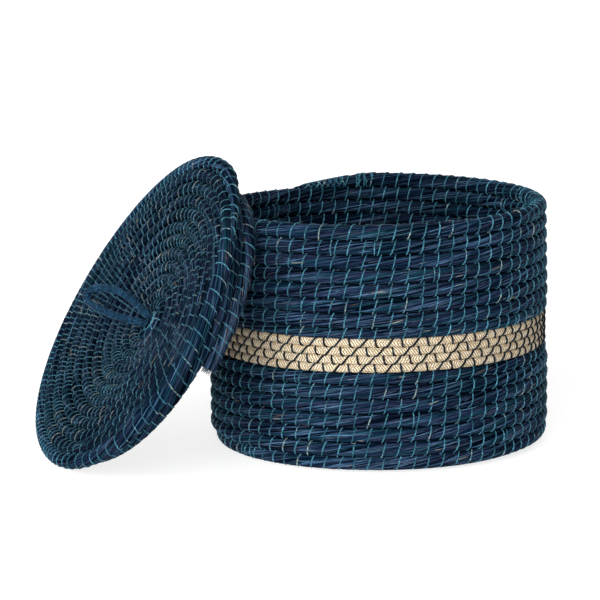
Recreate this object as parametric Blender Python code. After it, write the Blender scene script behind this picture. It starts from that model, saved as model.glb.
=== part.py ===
"""Round coiled grass basket with its loose coiled lid, in metres, +Z up.

The basket is one long coil of dyed grass: a flat spiral base, then rows that climb the wall
anticlockwise, with four rows of natural braid among them. The lid is a dished spiral that winds
clockwise, with a short flange coil sewn under it and a cord loop at its middle. It stands on the
ground beside the basket and leans on the basket's rim.

The origin is the middle of the base, on the ground.
"""

import math

import bmesh
import bpy
import numpy as np
from mathutils import Matrix, Vector

# Rows: a coil's thickness is the distance from one row to the next, with a slit between the two
GRASS_COIL = 0.0124
BRAID_COIL = 0.0073
LID_COIL = 0.0117
FLANGE_COIL = 0.0124
ROW_SLIT = 0.0006
SEAT_GAP = 0.0003
KNOT_GAP = 0.0004

# Basket
WALL_RADIUS = 0.1438
RIM_RADIUS = 0.1421
CORNER_RADIUS = 0.0116
LEAN_HEIGHT = 0.115
LEAN_RISE = 0.095
BASE_INSET = 0.0259
LEAST_EYE = 0.0075
LOWER_TURNS = 8
BRAID_TURNS = 4
UPPER_TURNS = 8
RIM_TAIL_TURNS = 0.08
COIL_SEAM_ANGLE = math.radians(123)

# Lid
LID_OVERHANG = 0.0003
LID_TAIL_TURNS = 0.1
LID_SEAM_ANGLE = math.radians(38)
LID_DISH = 0.018
LID_WARP = 0.0027
LID_WARP_ANGLE = math.radians(72)
FLANGE_CLEARANCE = 0.0006
FLANGE_FALL = 0.001
FLANGE_NEST = 0.001
FLANGE_TURNS = 1.4375
FLANGE_LEAD_TURNS = 0.17
FLANGE_SEAM_ANGLE = math.radians(150)

# How the lid leans: the bearing and the rise of its top face, and the bearing where it stands
LID_FACE_ANGLE = math.radians(204)
LID_FACE_RISE = math.radians(31.1)
LID_STAND_ANGLE = math.radians(201)
LEAN_GAP = 0.0009

# Handle: a loop of wrapped cord on the middle of the lid, with a rounded foot under each leg
CORD_THICKNESS = 0.0067
LEG_SLIT = 0.0005
HANDLE_LENGTH = 0.060
HANDLE_WIDTH = 0.021
HANDLE_ROUTE_SHARES = (
    (0.248, 0.36),
    (0.433, 0.467),
    (0.618, 0.462),
    (0.805, 0.295),
    (0.955, 0.02),
    (1.0, -0.3),
    (0.86, -0.52),
    (0.607, -0.524),
    (0.39, -0.433),
    (0.18, -0.3),
)

# Fineness of the windings and of the cord
CORNERS_PER_TURN = 16
SAMPLES_PER_SIDE = 6
POINTS_PER_SPAN = 3
FOOT_ANGLES = (math.radians(75), math.radians(45), math.radians(15))
BEVEL_RESOLUTION = 1
LEAN_TOLERANCE_SHARE = 0.01
KNOT_SIDES = 24
TIP_SHARE = 0.12
KNOT_ROUND_SHARE = 0.2
TURN_FRACTION = 4

# Looks
GRASS_COLOUR = (0.012, 0.02, 0.05)
BRAID_COLOUR = (0.62, 0.52, 0.34)
HANDLE_COLOUR = (0.02, 0.09, 0.2)
GRASS_ROUGHNESS = 0.6
HANDLE_ROUGHNESS = 0.75

# Sizes that follow
SIDE_COS = math.cos(math.pi / CORNERS_PER_TURN)
FLAT_SHARE = math.cos(math.pi / 6)
CORD_RADIUS = CORD_THICKNESS / 2
BASE_EDGE = WALL_RADIUS - BASE_INSET
BASE_TURNS = math.floor((BASE_EDGE - LEAST_EYE) / GRASS_COIL * TURN_FRACTION) / TURN_FRACTION
BASE_EYE = BASE_EDGE - BASE_TURNS * GRASS_COIL
LID_RADIUS = RIM_RADIUS + LID_OVERHANG
LID_TURNS = math.floor((LID_RADIUS - LEAST_EYE) / LID_COIL * TURN_FRACTION) / TURN_FRACTION
LID_EYE = LID_RADIUS - LID_TURNS * LID_COIL
FLANGE_RADIUS = RIM_RADIUS - (GRASS_COIL + FLANGE_COIL) / 2 - FLANGE_CLEARANCE


def clear_scene():
    for obj in list(bpy.data.objects):
        bpy.data.objects.remove(obj, do_unlink=True)


def strand_radius(thickness):
    """Radius of a coil whose straight-sided rows lie a thickness apart at their corners."""
    return (thickness * math.sqrt(SIDE_COS) - ROW_SLIT) / 2


def corner_radius(radius):
    """Where the corners of a many-sided row go, so that its sides lie as far in as its corners out."""
    return radius / math.sqrt(SIDE_COS)


def filled(share):
    """How thick a tapering end is, from its tip to its full size."""
    return TIP_SHARE + (1 - TIP_SHARE) * min(1.0, max(0.0, share))


def wind(turns, thickness_at, first_edge_at):
    """Inner edge and thickness of a coil at each corner, with one corner more before and after it.

    The first turn's edge is given. Every later row lies on the row before it.
    """
    rows = []
    for corner in range(round(turns * CORNERS_PER_TURN) + 2):
        turn = (corner - 0.5) / CORNERS_PER_TURN
        if turn < 1:
            edge = first_edge_at(turn)
        else:
            edge = sum(rows[corner - CORNERS_PER_TURN])
        rows.append((edge, thickness_at(turn)))
    return rows


def stretch(path, start, end):
    """The part of a path between two turns, cut square halfway along a side, clear of its neighbours."""
    first = round(start * CORNERS_PER_TURN)
    last = round(end * CORNERS_PER_TURN)
    head = halfway(path[first], path[first + 1], SEAT_GAP / 2)
    tail = halfway(path[last + 1], path[last], SEAT_GAP / 2)
    return [head] + path[first + 1 : last + 1] + [tail]


def halfway(corner, towards, gap):
    """The middle of a side, moved by a gap towards one of its corners."""
    middle = (corner[0] + towards[0]) / 2
    middle += (towards[0] - corner[0]).normalized() * gap
    return middle, (corner[1] + towards[1]) / 2, (corner[2] + towards[2]) / 2


def samples(path):
    """Points along a path's sides, each with the coil's radius there."""
    found = []
    for (here, radius, _), (there, next_radius, _) in zip(path, path[1:]):
        for step in range(SAMPLES_PER_SIDE):
            share = step / SAMPLES_PER_SIDE
            found.append((*here.lerp(there, share), radius + (next_radius - radius) * share))
    return np.array(found)


def gaps(first, second):
    """The gap from each sampled point of one coil to each of another."""
    apart = np.linalg.norm(first[:, None, :3] - second[None, :, :3], axis=2)
    return apart - first[:, None, 3] - second[None, :, 3]


def print_least_gap(name, path):
    """Prints how near a coil comes to itself, leaving out what lies within half a turn along it."""
    points = samples(path)
    index = np.arange(len(points))
    apart = np.abs(index[:, None] - index[None, :]) > SAMPLES_PER_SIDE * CORNERS_PER_TURN / 2
    if apart.any():
        print(f"{name}: least gap to itself {gaps(points, points)[apart].min():.5f} m")


def basket_thickness(turn):
    """Grass coil that thins over a turn to the braid, and thickens over a turn above it."""
    braid_start = BASE_TURNS + LOWER_TURNS
    braid_end = braid_start + BRAID_TURNS
    share = braid_start - turn if turn < braid_start else turn - braid_end
    thickness = BRAID_COIL + (GRASS_COIL - BRAID_COIL) * min(1.0, max(0.0, share))
    return thickness * filled((braid_end + UPPER_TURNS - turn) / RIM_TAIL_TURNS)


def base_height():
    """Height of the base's coil, whose rows stand on one flat side."""
    return strand_radius(GRASS_COIL) * FLAT_SHARE


def basket_profile(travel):
    """Radius, height and slope of the basket, at a distance along it from the middle of its base."""
    flat = WALL_RADIUS - CORNER_RADIUS
    # Rows in the corner lie a thickness apart in a straight line, so its arc takes less travel
    row_angle = 2 * math.asin(min(1.0, GRASS_COIL / (2 * CORNER_RADIUS)))
    corner = math.pi / 2 * GRASS_COIL / row_angle
    if travel < flat:
        return travel, base_height(), 0.0
    if travel < flat + corner:
        slope = (travel - flat) / corner * math.pi / 2
        radius = flat + CORNER_RADIUS * math.sin(slope)
        return radius, base_height() + CORNER_RADIUS * (1 - math.cos(slope)), slope
    height = base_height() + CORNER_RADIUS + travel - flat - corner
    lean = min(1.0, max(0.0, (height - LEAN_HEIGHT) / LEAN_RISE))
    return WALL_RADIUS + (RIM_RADIUS - WALL_RADIUS) * lean, height, math.pi / 2


def basket_path():
    """Corners of the basket's whole coil, from the middle of the base to the rim's end."""
    turns = BASE_TURNS + LOWER_TURNS + BRAID_TURNS + UPPER_TURNS
    start_angle = COIL_SEAM_ANGLE - (BASE_TURNS + LOWER_TURNS) * 2 * math.pi
    rows = wind(turns, basket_thickness, lambda turn: BASE_EYE + GRASS_COIL * turn)
    path = []
    for corner, (edge, thickness) in enumerate(rows):
        angle = start_angle + (corner - 0.5) / CORNERS_PER_TURN * 2 * math.pi
        radius, height, slope = basket_profile(edge + thickness / 2)
        radius = corner_radius(radius)
        point = Vector((radius * math.cos(angle), radius * math.sin(angle), height))
        # The section turns less than the slope does, so that no row in the corner dips below the base
        path.append((point, strand_radius(thickness), -(slope**2) / (math.pi / 2)))
    return path


def lid_height(radius, angle):
    """Height of the lid's coil over the plane of its edge: a dish, with a slight twist."""
    share = (radius / LID_RADIUS) ** 2
    return LID_WARP * share * math.cos(2 * (angle - LID_WARP_ANGLE)) - LID_DISH * max(0.0, 1 - share) ** 2


def lid_path():
    """Corners of the lid's spiral, clockwise seen from its top face."""

    def thickness_at(turn):
        return LID_COIL * filled((LID_TURNS - turn) / LID_TAIL_TURNS)

    start_angle = LID_SEAM_ANGLE + LID_TURNS * 2 * math.pi
    rows = wind(LID_TURNS, thickness_at, lambda turn: LID_EYE + LID_COIL * turn)
    path = []
    for corner, (edge, thickness) in enumerate(rows):
        angle = start_angle - (corner - 0.5) / CORNERS_PER_TURN * 2 * math.pi
        radius = edge + thickness / 2
        point = Vector((math.cos(angle), math.sin(angle), 0)) * corner_radius(radius)
        point.z = lid_height(radius, angle)
        path.append((point, strand_radius(thickness), 0.0))
    return path


def flange_path():
    """Corners of the flange's coil: a turn under the lid's edge, then its second row under the first."""

    def thickness_at(turn):
        return FLANGE_COIL * filled(turn / FLANGE_LEAD_TURNS)

    path = []
    rows = wind(FLANGE_TURNS, thickness_at, lambda turn: FLANGE_FALL * turn)
    for corner, (edge, thickness) in enumerate(rows):
        angle = FLANGE_SEAM_ANGLE - (corner - 0.5) / CORNERS_PER_TURN * 2 * math.pi
        point = Vector((math.cos(angle), math.sin(angle), 0)) * corner_radius(FLANGE_RADIUS)
        top = lid_height(FLANGE_RADIUS, angle) - LID_COIL / 2 + FLANGE_NEST
        point.z = top - edge - thickness / 2
        path.append((point, strand_radius(thickness), math.pi / 2))
    return path


def lid_turned():
    """The lid's own directions in the world: across its face, up its face and out of its top."""
    across = Vector((-math.sin(LID_FACE_ANGLE), math.cos(LID_FACE_ANGLE), 0))
    rise = math.cos(LID_FACE_RISE)
    out = Vector((rise * math.cos(LID_FACE_ANGLE), rise * math.sin(LID_FACE_ANGLE), math.sin(LID_FACE_RISE)))
    return Matrix((across, out.cross(across), out)).transposed()


def lid_place(lid, basket):
    """Where the lid's middle lies when its edge stands on the ground and its flange leans on the rim."""
    lid = np.column_stack([lid[:, :3] @ np.array(lid_turned()).T, lid[:, 3]])
    height = SEAT_GAP - (lid[:, 2] - lid[:, 3]).min()
    lid[:, 2] += height
    stand = np.array([math.cos(LID_STAND_ANGLE), math.sin(LID_STAND_ANGLE), 0])
    near, far = WALL_RADIUS, WALL_RADIUS + 2 * LID_RADIUS
    while far - near > LEAN_TOLERANCE_SHARE * SEAT_GAP:
        middle = (near + far) / 2
        moved = lid + np.append(stand * middle, 0)
        if gaps(moved, basket).min() > LEAN_GAP:
            far = middle
        else:
            near = middle
    return Vector(stand * far) + Vector((0, 0, height))


def catmull_rom(points, per_span):
    """A smooth curve through the points, which starts and ends on the first and the last."""
    padded = [points[0] * 2 - points[1]] + points + [points[-1] * 2 - points[-2]]
    curve = []
    for before, here, there, after in zip(padded, padded[1:], padded[2:], padded[3:]):
        for step in range(per_span):
            share = step / per_span
            bend = 2 * before - 5 * here + 4 * there - after
            twist = 3 * here - before - 3 * there + after
            curve.append(here + (share * (there - before) + share**2 * bend + share**3 * twist) / 2)
    return curve + [points[-1]]


def handle_path():
    """The loop's cord, in the handle's own place: its hinge line is the Y axis and it stands up along Z."""
    leg = CORD_RADIUS + LEG_SLIT / 2
    route = [Vector((0, leg, 0))]
    for length_share, width_share in HANDLE_ROUTE_SHARES:
        route.append(Vector((0, HANDLE_WIDTH * width_share, HANDLE_LENGTH * length_share)))
    route.append(Vector((0, -leg, 0)))
    path = [(point, CORD_RADIUS, 0.0) for point in catmull_rom(route, POINTS_PER_SPAN)]
    foot = [(math.sin(angle) * CORD_RADIUS, math.cos(angle) * CORD_RADIUS) for angle in FOOT_ANGLES]
    head = [(Vector((0, leg, -drop)), radius, 0.0) for drop, radius in foot]
    tail = [(Vector((0, -leg, -drop)), radius, 0.0) for drop, radius in reversed(foot)]
    return head + path + tail


def make_material(name, colour, roughness):
    material = bpy.data.materials.new(name)
    material.use_nodes = True
    shader = material.node_tree.nodes["Principled BSDF"]
    shader.inputs["Base Color"].default_value = (*colour, 1)
    shader.inputs["Roughness"].default_value = roughness
    shader.inputs["Metallic"].default_value = 0
    return material


def add_object(name, data, parent):
    obj = bpy.data.objects.new(name, data)
    obj.parent = parent
    bpy.context.scene.collection.objects.link(obj)
    return obj


def make_tube(name, path, parent, colour, roughness):
    """One unbroken tube along a path of (point, radius, tilt)."""
    widest = max(radius for _, radius, _ in path)
    curve = bpy.data.curves.new(name, "CURVE")
    curve.dimensions = "3D"
    curve.twist_mode = "Z_UP"
    curve.bevel_depth = widest
    curve.bevel_resolution = BEVEL_RESOLUTION
    curve.use_fill_caps = True
    spline = curve.splines.new("POLY")
    spline.points.add(len(path) - 1)
    for spot, (point, radius, tilt) in zip(spline.points, path):
        spot.co = (*point, 1)
        spot.radius = radius / widest
        spot.tilt = tilt
    spline.use_smooth = True
    curve.materials.append(make_material(name, colour, roughness))
    return add_object(name, curve, parent)


def make_knot(name, radius, height, place, parent, colour, roughness):
    """The turned start of a spiral: a round button as thick as the coil, rounded at both edges."""
    mesh = bpy.data.meshes.new(name)
    knot = bmesh.new()
    made = bmesh.ops.create_cone(
        knot, cap_ends=True, segments=KNOT_SIDES, radius1=radius, radius2=radius, depth=height
    )
    bmesh.ops.translate(knot, verts=made["verts"], vec=place)
    rounded = height * KNOT_ROUND_SHARE
    edges = [edge for edge in knot.edges if abs(edge.verts[0].co.z - edge.verts[1].co.z) < rounded]
    bmesh.ops.bevel(
        knot, geom=edges, offset=rounded, segments=2, profile=0.5, affect="EDGES", material=-1
    )
    knot.to_mesh(mesh)
    knot.free()
    mesh.shade_smooth()
    mesh.materials.append(make_material(name, colour, roughness))
    return add_object(name, mesh, parent)


def add_empty(name, parent, matrix):
    empty = add_object(name, None, parent)
    empty.matrix_local = matrix
    return empty


def main():
    clear_scene()
    basket = basket_path()
    lid = lid_path()
    flange = flange_path()
    lower_start = BASE_TURNS
    braid_start = lower_start + LOWER_TURNS
    upper_start = braid_start + BRAID_TURNS
    rim_end = upper_start + UPPER_TURNS
    coils = {
        "base_coil": stretch(basket, 0, lower_start),
        "lower_wall_coil": stretch(basket, lower_start, braid_start),
        "braid_band_coil": stretch(basket, braid_start, upper_start),
        "upper_wall_coil": stretch(basket, upper_start, rim_end),
        "lid_top_coil": stretch(lid, 0, LID_TURNS),
        "lid_flange_coil": stretch(flange, 0, FLANGE_TURNS),
    }
    for name, path in coils.items():
        print_least_gap(name, path)

    lid_samples = np.concatenate([samples(coils["lid_top_coil"]), samples(coils["lid_flange_coil"])])
    place = lid_place(lid_samples, samples(coils["upper_wall_coil"]))
    lid_frame = add_empty("lid_frame", None, Matrix.Translation(place) @ lid_turned().to_4x4())
    for name, path in coils.items():
        parent = lid_frame if name.startswith("lid") else None
        colour = BRAID_COLOUR if name.startswith("braid") else GRASS_COLOUR
        make_tube(name, path, parent, colour, GRASS_ROUGHNESS)

    base_knot_height = 2 * base_height()
    make_knot(
        "base_start_knot",
        BASE_EYE - KNOT_GAP,
        base_knot_height,
        Vector((0, 0, base_knot_height / 2)),
        None,
        GRASS_COLOUR,
        GRASS_ROUGHNESS,
    )
    lid_knot_height = 2 * strand_radius(LID_COIL) * FLAT_SHARE
    make_knot(
        "lid_start_knot",
        LID_EYE - KNOT_GAP,
        lid_knot_height,
        Vector((0, 0, -LID_DISH)),
        lid_frame,
        GRASS_COLOUR,
        GRASS_ROUGHNESS,
    )
    hinge_height = lid_knot_height / 2 - LID_DISH + SEAT_GAP + CORD_RADIUS
    handle_frame = add_empty("handle_hinge", lid_frame, Matrix.Translation((0, 0, hinge_height)))
    make_tube("handle_loop", handle_path(), handle_frame, HANDLE_COLOUR, HANDLE_ROUGHNESS)


main()
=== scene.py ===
"""Looks of a round coiled grass basket and its loose lid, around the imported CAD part.

Each coil is a bundle of dyed grass, drawn in at every stitch. The sewing thread is one long line that
goes round its coil, and each stitch stands over one in the row before. The band is four rows of
natural braid under a dark thread, and the handle is a cord wrapped in blue thread.
"""

import math

import bmesh
import bpy
import numpy as np
from mathutils import Matrix, Vector


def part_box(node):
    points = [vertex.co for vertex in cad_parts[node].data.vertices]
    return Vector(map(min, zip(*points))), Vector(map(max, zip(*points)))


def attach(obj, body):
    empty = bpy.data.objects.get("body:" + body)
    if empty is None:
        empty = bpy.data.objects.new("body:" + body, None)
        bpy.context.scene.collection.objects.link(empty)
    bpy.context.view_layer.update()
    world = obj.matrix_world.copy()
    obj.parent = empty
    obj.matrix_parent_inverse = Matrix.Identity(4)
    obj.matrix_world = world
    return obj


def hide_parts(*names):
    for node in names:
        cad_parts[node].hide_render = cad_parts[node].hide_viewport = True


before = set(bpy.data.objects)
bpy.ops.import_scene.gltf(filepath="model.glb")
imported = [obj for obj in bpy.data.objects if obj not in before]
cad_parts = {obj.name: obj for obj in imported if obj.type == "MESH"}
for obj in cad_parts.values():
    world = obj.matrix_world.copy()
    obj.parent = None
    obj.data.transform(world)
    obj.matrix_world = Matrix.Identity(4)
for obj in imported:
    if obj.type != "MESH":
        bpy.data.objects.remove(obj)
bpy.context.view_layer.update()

bl_info = {
    "name": "Coiled grass basket",
    "version": (1, 0, 0),
    "blender": (4, 5, 0),
    "location": "View3D > Sidebar > Basket",
    "description": "Builds a coiled grass basket with its stitches, band, lid and handle",
    "category": "Add Mesh",
}

TAU = 2 * math.pi
UP = np.array([0.0, 0.0, 1.0])

# The winding of the CAD part, in metres and radians
GRASS_COIL = 0.0124
BRAID_COIL = 0.0073
LID_COIL = 0.0117
FLANGE_COIL = 0.0124
WALL_RADIUS = 0.1438
RIM_RADIUS = 0.1421
CORNER_RADIUS = 0.0116
LEAN_HEIGHT = 0.115
LEAN_RISE = 0.095
BASE_TURNS = 8.75
BASE_EYE = 0.0094
BASE_HEIGHT = 0.0051
LOWER_TURNS = 8
BRAID_TURNS = 4
UPPER_TURNS = 8
RIM_TAIL_TURNS = 0.08
COIL_SEAM_ANGLE = math.radians(123)
LID_RADIUS = 0.1424
LID_TURNS = 11.5
LID_EYE = 0.00785
LID_TAIL_TURNS = 0.1
LID_SEAM_ANGLE = math.radians(38)
LID_DISH = 0.018
LID_WARP = 0.0027
LID_WARP_ANGLE = math.radians(72)
FLANGE_RADIUS = 0.1291
FLANGE_FALL = 0.001
FLANGE_NEST = 0.001
FLANGE_TURNS = 1.4375
FLANGE_LEAD_TURNS = 0.17
FLANGE_SEAM_ANGLE = math.radians(150)
LID_FACE_ANGLE = math.radians(204)
LID_FACE_RISE = math.radians(31.1)
TIP_SHARE = 0.12

# The handle's cord
CORD_THICKNESS = 0.0067
LEG_SLIT = 0.0005
HANDLE_LENGTH = 0.060
HANDLE_WIDTH = 0.021
HINGE_HEIGHT = -0.0096
CORD_SIDES = 12
ROUTE_SAMPLES = 16
WINDING_SPACING = 1.2
WINDING_SAMPLES = 12
FOOT_DEPTH = 0.0023
BINDING_TURNS = 4
BINDING_WIDTHS = (0.0047, 0.0080)
BINDING_SPREAD = 0.00055
BINDING_DEPTH = 0.0030
BINDING_FALL = 0.00025
BINDING_SAMPLES = 24
HANDLE_ROUTE_SHARES = (
    (0.248, 0.36),
    (0.433, 0.467),
    (0.618, 0.462),
    (0.805, 0.295),
    (0.955, 0.02),
    (1.0, -0.3),
    (0.86, -0.52),
    (0.607, -0.524),
    (0.39, -0.433),
    (0.18, -0.3),
)

# Where the basket's coil changes, in turns from its start, and what is sewn at its end
LOWER_START = BASE_TURNS
BRAID_START = LOWER_START + LOWER_TURNS
UPPER_START = BRAID_START + BRAID_TURNS
RIM_END = UPPER_START + UPPER_TURNS
CROSS_START = RIM_END - 0.062
CROSS_END = RIM_END - 0.01
CROSS_SPACING_TURNS = 0.0062
CROSS_SLANTS = (1.1, -1.3)
TANGLE_TURN = RIM_END - 0.072
TANGLE_THREADS = 2
TANGLE_POINTS = 120
TANGLE_LOOPS = 3
TANGLE_WANDER = 0.0006
TANGLE_RADIUS_SHARE = 1.06
TANGLE_RISE = 0.001

# Sewing: how far apart stitches are, and how they cross their row
FIRST_STITCHES = 18
WIDEST_GAP_SHARE = 1.42
ROW_SHIFT_TURNS = 0.0006
EVENING_ROUNDS = 5
STITCH_JITTER_SHARE = 0.09
DOUBLED_SHARE = 0.03
DOUBLED_GAP_TURNS = 0.0022
SLANT_JITTER_SHARE = 0.3
SLANTS = 97
WALL_SLANT = 0.3
LID_SLANT = 0.34
BACK_SLANT = 0.3
MIDDLE_SPACING_SHARE = 0.62
LID_MIDDLE_SPACING_SHARE = 0.66
WALL_PINCH = 0.07
LID_PINCH = 0.09
PINCH_AT = 0.25
THREAD_SINK_SHARE = 0.2
DIP = 0.0006
REST_SHARE = 0.06
FACE_SHARE = 0.38
HOOK_FALL_SHARE = 0.13
HOOK_RISE_SHARE = 0.1
FLAT_SIDES = 2.5
BAND_PAIRS = 42
BAND_START = BRAID_START + 0.004
BAND_SLANT = 0.0075
BAND_BACK_SLANT = 0.0017
BAND_BACK_SLANTS = (0.2, 0.8)
BAND_HOOKS = (0, 0.0032)
BAND_THREAD_SHARE = 1.5
LID_THREAD_SHARE = 0.9
LID_EDGE_TURNS = 1.05
SPARSE_ANGLE = math.radians(10)
SPARSE_SHARE = 0.33
FLANGE_FIRST_STITCH = 0.02
FLANGE_STITCH_TURNS = 0.0135
KNOT_STITCHES = 9
PLUG_SHARE = 1.1
PLUG_HEIGHT_SHARE = 1.15
PLUG_SLOPE = 1.4
SETTLED_HEIGHT = 0.0003

# Single strands: how they differ from the longest and thickest one, and how they lie on their bundle
STRAND_LENGTH_SHARES = (0.35, 1)
STRAND_THICKNESS_SHARES = (0.6, 1.1)
STRAND_LAYS = (5, 50)
STRAND_LIFT_SHARES = (-0.4, 1)
STRAND_ROOT_DEPTH_SHARE = 2.5
STRAND_ROOTS = 6
STRAND_TIPS = 5
STRAND_TIP_SHARE = 0.25

# Loose strands by kind: how long one may be, and how far its end may lift off
LOOSE_KINDS = (
    ("soft", 0.055, 0.0004),
    ("blue", 0.050, 0.0012),
    ("pale", 0.016, 0.0016),
    ("brown", 0.022, 0.0008),
)
LOOSE_DEEP_SHARE = 0.25

# How many loose strands of each kind lie on a coil, how far round it, and on which of its turns
WALL_STRANDS = (700, 60, 60, 9)
WALL_STRAND_SPREAD = 1.1
BARE_TURNS = 0.1
BARE_RIM_TURNS = 0.2
INSIDE_STRANDS = (160, 12, 10, 2)
INSIDE_STRAND_SPREAD = 1.0
INSIDE_TURNS = 4
LID_STRANDS = (620, 60, 50, 9)
LID_STRAND_SPREAD = 1.2
LID_STRAND_START = 0.5
FLANGE_STRANDS = (50, 8, 12, 5)
FLANGE_STRAND_SPREAD = 1.3
FLANGE_STRAND_SPAN = (1.1, 1.42)

# The frayed end of the flange: ends that stick out of it, and ends that lift off beside it
FRAYED_ENDS = 50
FRAYED_LENGTH = 0.005
FRAYED_THICKNESS = 0.0004
FRAYED_SPREAD = -0.45
FRAYED_SCATTER = 0.4
FRAYED_ROOT = 0.008
FRAYED_STEP_TURNS = 0.01
FRAYED_SIDE_SHARES = (0.1, 0.8)
FRAYED_LENGTH_SHARES = (0.4, 1)
FRAYED_BEND_SHARES = (-0.2, 1)
FRAYED_TIP_SHARES = (1.2, 0.3)
LIFTED_ENDS = 60
LIFTED_SPAN = (1.3, 1.41)
LIFTED_LENGTH = 0.022
LIFTED_HEIGHT = 0.004

# Seeds of the random draws, one for each group of pieces
WALL_SEED = 4
RIM_SEED = 21
LID_SEED = 9
LOOSE_SEED = 17

# How finely the pieces are made, and the sides of a tube in its UV map, in turns round it
FINE_STEPS = 120
SAMPLES_PER_STITCH = 4
SAMPLES_PER_WRAP = 14
BUNDLE_SIDES = 14
THREAD_SIDES = 6
STRAND_SIDES = 4
STRAND_POINTS = 9
LAY = "lay"
TO_THE_RIGHT = 0.0
BELOW = 0.25
TO_THE_LEFT = 0.5
ABOVE = 0.75
STRAND_OFFSET = 0.371

# All fibres: how much each one roughens its piece, and how rough the noise is that they are made of
FIBRE_ROUGHNESS = 0.2
NOISE_ROUGHNESS = 0.6

# Grass: noise cells in a metre along a bundle and in one radius across it, then how its shades are chosen
GRASS_CELLS = (13.0, 5.6)
GRASS_FIBRES = (45.0, 17.0)
GRASS_TONES = (20.0, 2.0)
GRASS_MIDDLE_CHANCE = (0.0, 0.9)
GRASS_VIOLET_CHANCE = (0.45, 0.6)
GRASS_VIOLET_TONE = (0.4, 0.6)
GRASS_TEAL_CHANCE = (0.14, 0.2)
# Lighter strands, partly their own colour and partly painted sheen, and painted highlights on raised fibres
GRASS_LIGHT_CHANCE = (0.5, 0.95)
GRASS_LIGHT_FIBRE = (0.48, 0.6)
GRASS_PAINTED_HIGHLIGHT_FIBRE = (0.6, 0.7)
GRASS_PAINTED_HIGHLIGHT_SHARE = 0.55
# Painted shade where fibres and the edges between strands sink in, as the bump lowers them
GRASS_DIM_FIBRE = (0.36, 0.5)
GRASS_SUNK_FIBRE_SHADE_SHARE = 0.45
GRASS_GAP = (0.4, 0.75)
GRASS_GAP_SHADE_SHARE = 0.55
GRASS_FIBRE_HEIGHT = 0.45
GRASS_GAP_HEIGHT = 0.55
GRASS_DEPTH = 0.0016
GRASS_ROUGHNESS = 0.34
GRASS_FIBRE_ROUGHNESS = 0.3
GROOVE_ROUGHNESS = 0.5
GRASS_GLOSS = 0.004
GRASS_GLOSS_TINT = (0.6, 0.8, 1.0)
# Painted shade in the grooves where a bundle touches the rows beside it: where, and how much darker
GROOVE = (0.66, 0.95)
GROOVE_PAINTED_SHADE = 0.97
LAST_ROW_FADE = 0.05
# Painted shade on the lid's rows inside its edge row
LID_PAINTED_SHADE = 0.5
# Painted shade on a wall's inner side, over the part of each row's section that INNER_PAINTED_SHADE_SIDE
# gives
INSIDE_PAINTED_SHADE = 0.4
INNER_PAINTED_SHADE_SIDE = (0.0, 0.7)

# Loose strands, with patches of a shade along them
LOOSE_PATCHES = (55.0, 0.3)
LOOSE_FIBRES = (300.0, 1.0)
LOOSE_PATCH = (0.35, 0.62)
LOOSE_FIBRE = (0.4, 0.65)
LOOSE_PATCH_SHARE = 0.7
LOOSE_DEPTH = 0.0002
LOOSE_BUMP = 0.6
LOOSE_ROUGHNESS = 0.4
LOOSE_GLOSS = 0.08

# Thread, with stretches of a shade along it, worn stretches and twisted fibres
THREAD_TWIST = 1500.0
THREAD_STRETCHES = 31.0
THREAD_WORN_STRETCHES = 23.0
THREAD_ACROSS = 0.05
THREAD_STRETCH = (0.36, 0.62)
THREAD_WORN_START = 0.72
THREAD_WORN_RANGE = 0.4
THREAD_WORN_STEP = 0.06
THREAD_FIBRES = (420.0, 1.3)
THREAD_FIBRE = (0.42, 0.6)
# Painted shade on the thread where its twisted fibres sink in
THREAD_FIBRE_SHADE_SHARE = 0.3
THREAD_DEPTH = 0.0003
THREAD_BUMP = 0.8
THREAD_ROUGHNESS = 0.4
THREAD_GLOSS = 0.12
TEAL_PALE_SHARE = 0.4
LID_PALE_SHARE = 0.45
HANDLE_PALE_SHARE = 0.3
HANDLE_STRETCHES = 25.0
HANDLE_GLOSS = 0.1

# Braid: patches where its fibres slant both ways, single fibres, and stretches that turned brown,
# with painted shade where its rows meet
BRAID_PATCHES = (42.0, 0.8)
BRAID_PATCH = (0.43, 0.46)
BRAID_WOBBLES = (210.0, 1.4)
BRAID_WOBBLE_SHARE = 0.9
BRAID_SLANT = 7.0
BRAID_BACK_PITCH_SHARE = 0.93
BRAID_FIBRE = (-0.75, 0.55)
BRAID_TONES = (190.0, 5.0)
BRAID_TONE = (0.3, 0.48)
BRAID_BROWNS = (26.0, 1.0)
BRAID_BROWN = (0.5, 0.72)
BRAID_BROWN_SHARE = 0.55
BRAID_GROOVE_SHADE = (0.62, 0.99)
BRAID_GROOVE_SHADE_SHARE = 0.8
BRAID_FIBRE_HEIGHT = 0.7
BRAID_DEPTH = 0.0008
BRAID_ROUGHNESS = 0.72
BRAID_GLOSS = 0.1

# The stage. The floor shines a little by itself, so that it stays white and shadows on it stay pale
FLOOR_REACH = 30
FLOOR_ROUGHNESS = 0.9
FLOOR_SHADE = 0.45
FLOOR_GLOW = 0.84
WORLD_GLOW = 0.05
SOFT_LIGHTS = (
    ("key", 5.6, math.radians(66), Vector((-0.42, -1.0, 0.3))),
    ("top", 0.35, math.radians(70), Vector((0.0, 0.1, 1.0))),
    ("back", 1.1, math.radians(80), Vector((0.4, 1.0, 0.5))),
)
CAMERA_PLACE = (0, -2.5, 0.5711)
CAMERA_YAW = -0.0279
CAMERA_PITCH = 0.1769
CAMERA_ROLL = -0.0084
CAMERA_SENSOR = 36
CAMERA_LENS = 170.98


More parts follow.
